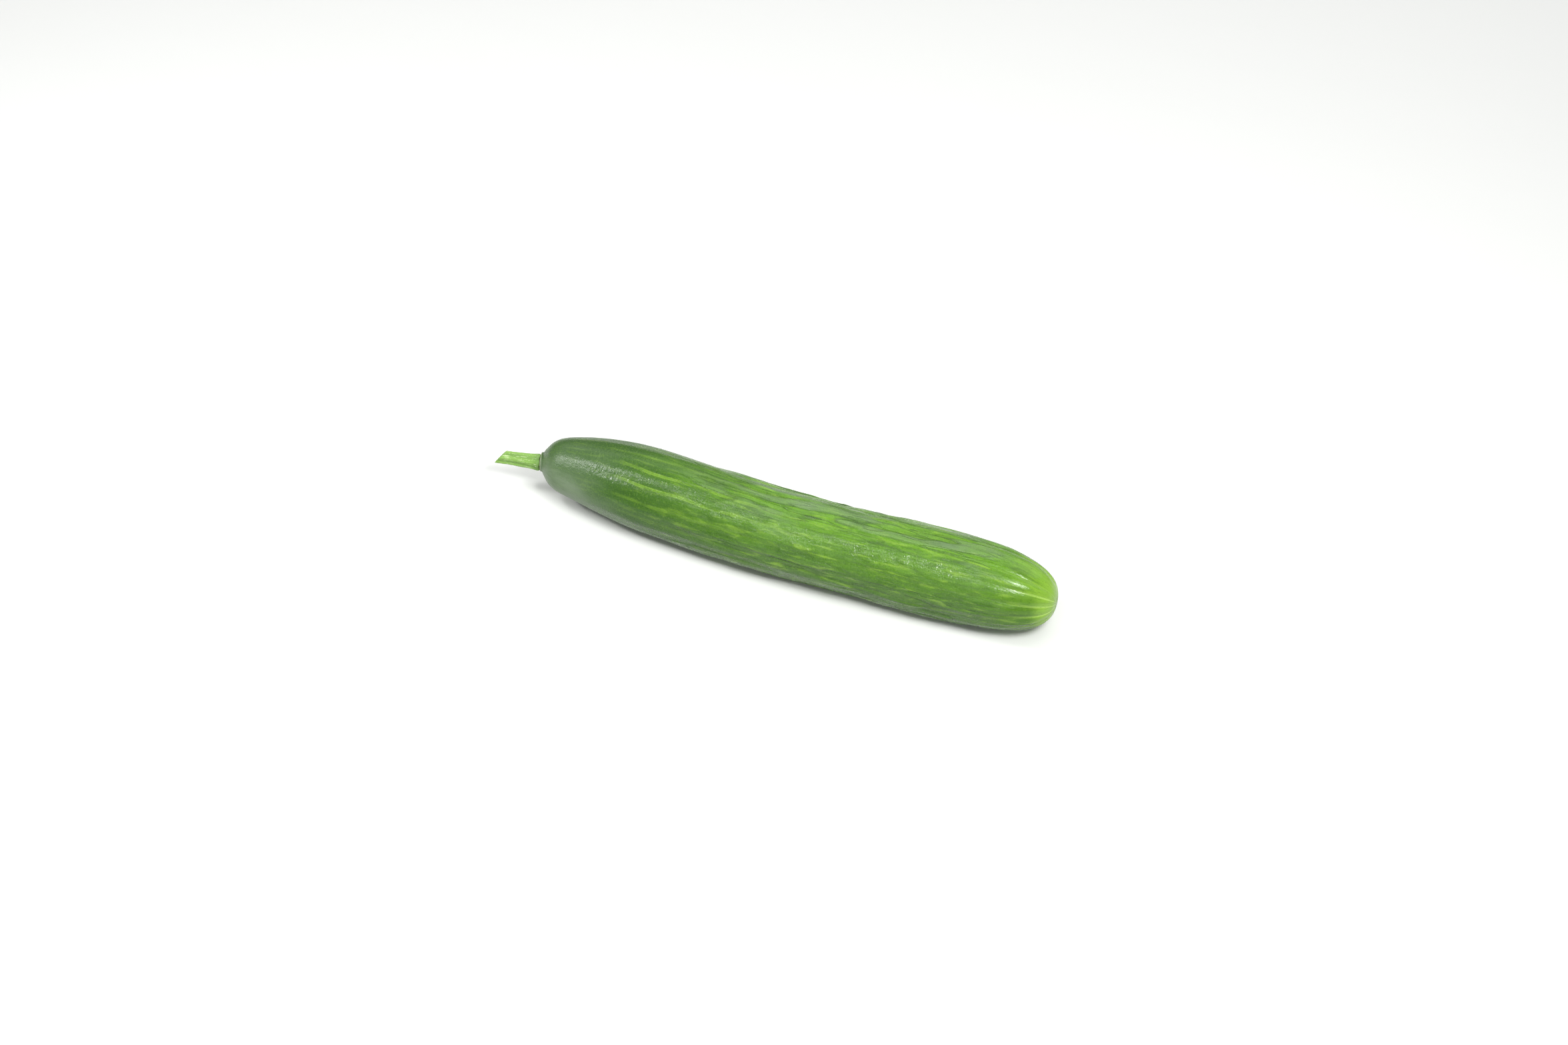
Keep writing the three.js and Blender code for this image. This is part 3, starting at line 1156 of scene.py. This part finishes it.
class CUCUMBER_OT_stage(bpy.types.Operator):
    """Sets the camera, the lights and the floor"""

    bl_idname = "cucumber.make_stage"
    bl_label = "Stage"

    AIM = Vector((7, 0, 6)) * MM  # from the middle of the object to the middle of the view
    FACE_POWER = 4  # the watts a square metre that make a softbox's face as bright as 1
    FLOOR_SIZE = 6  # in metres
    FLOOR_DROP = 0.05 * MM  # how far under the fruit it lies, so that no two faces share a place

    # Each softbox: where it hangs from the middle of the object and its size, in metres, and
    # its share of the full brightness.
    SOFTBOXES = (
        ("overhead", (0.0, -0.3, 0.95), (0.8, 0.4), 0.3),
        ("behind", (-0.1, 0.8, 1.05), (2.3, 0.9), 0.3),
        ("key", (0.0, -0.52, 0.85), (1.0, 0.03), 5.5),
        ("front", (0.1, -1.3, 0.7), (1.4, 0.4), 0.35),
        ("back", (0.35, 0.85, 0.9), (0.7, 0.1), 0.2),
        ("horizon", (0.5, 1.4, 0.42), (0.9, 0.15), 0.55),
        ("neck", (-0.74, -0.28, 0.62), (0.1, 0.08), 26.0),
        ("shoulder", (-0.52, -0.2, 0.84), (0.16, 0.07), 11.0),
        ("tip_end", (0.5, -0.4, 0.86), (0.36, 0.22), 9.0),
    )

    def execute(self, context):
        settings = context.scene.cucumber_stage
        low, high = CAD_BOX
        middle = (low + high) / 2
        self.camera(context, settings, middle + self.AIM)
        self.lights(context, settings, middle)
        self.floor(settings)
        context.scene.view_settings.view_transform = "Standard"
        return {"FINISHED"}

    @staticmethod
    def camera(context, settings, aim):
        back = Vector(
            (
                math.sin(settings.azimuth) * math.cos(settings.elevation),
                -math.cos(settings.azimuth) * math.cos(settings.elevation),
                math.sin(settings.elevation),
            )
        )
        bpy.ops.object.camera_add(
            location=aim + back * settings.distance,
            rotation=back.to_track_quat("Z", "Y").to_euler(),
        )
        camera = context.object
        camera.data.lens = settings.lens
        camera.data.clip_end = 20
        context.scene.camera = camera

    def lights(self, context, settings, middle):
        world = bpy.data.worlds.new("room")
        world.use_nodes = True
        background = world.node_tree.nodes["Background"]
        background.inputs["Color"].default_value = (1, 1, 1, 1)
        background.inputs["Strength"].default_value = settings.daylight
        context.scene.world = world
        for name, offset, size, share in self.SOFTBOXES:
            self.softbox(name, middle, offset, size, settings.softboxes * share)

    @classmethod
    def softbox(cls, name, middle, offset, size, brightness):
        back = Vector(offset)
        bpy.ops.object.light_add(
            type="AREA", location=middle + back, rotation=back.to_track_quat("Z", "Y").to_euler()
        )
        lamp = bpy.context.object
        lamp.name = lamp.data.name = name
        lamp.data.shape = "RECTANGLE"
        lamp.data.size, lamp.data.size_y = size
        lamp.data.energy = brightness * cls.FACE_POWER * size[0] * size[1]

    @classmethod
    def floor(cls, settings):
        deselect_all()
        bpy.ops.mesh.primitive_plane_add(size=cls.FLOOR_SIZE, location=(0, 0, -cls.FLOOR_DROP))
        floor = bpy.context.object
        floor.name = floor.data.name = "table_top"
        settle(floor)
        floor.data.materials.append(matt_table(settings))


class CUCUMBER_PT_panel(bpy.types.Panel):
    """Lists the pieces and their settings"""

    bl_label = "Cucumber"
    bl_idname = "CUCUMBER_PT_panel"
    bl_space_type = "VIEW_3D"
    bl_region_type = "UI"
    bl_category = "Cucumber"

    def draw(self, context):
        groups = (
            (CUCUMBER_OT_fruit, context.scene.cucumber_fruit),
            (CUCUMBER_OT_stem, context.scene.cucumber_stem),
            (CUCUMBER_OT_hairs, None),
            (CUCUMBER_OT_stage, context.scene.cucumber_stage),
        )
        for operator, settings in groups:
            box = self.layout.box()
            box.operator(operator.bl_idname)
            for name in type(settings).__annotations__ if settings else ():
                box.prop(settings, name)


CLASSES = (
    FruitSettings,
    StemSettings,
    StageSettings,
    CUCUMBER_OT_fruit,
    CUCUMBER_OT_stem,
    CUCUMBER_OT_hairs,
    CUCUMBER_OT_stage,
    CUCUMBER_PT_panel,
)


def register():
    for made in CLASSES:
        bpy.utils.register_class(made)
    bpy.types.Scene.cucumber_fruit = bpy.props.PointerProperty(type=FruitSettings)
    bpy.types.Scene.cucumber_stem = bpy.props.PointerProperty(type=StemSettings)
    bpy.types.Scene.cucumber_stage = bpy.props.PointerProperty(type=StageSettings)


def unregister():
    del bpy.types.Scene.cucumber_stage
    del bpy.types.Scene.cucumber_stem
    del bpy.types.Scene.cucumber_fruit
    for made in reversed(CLASSES):
        bpy.utils.unregister_class(made)


def main():
    register()
    bpy.ops.cucumber.make_stage()
    bpy.ops.cucumber.make_fruit()
    bpy.ops.cucumber.make_stem()
    bpy.ops.cucumber.make_hairs()


if __name__ == "__main__":
    main()
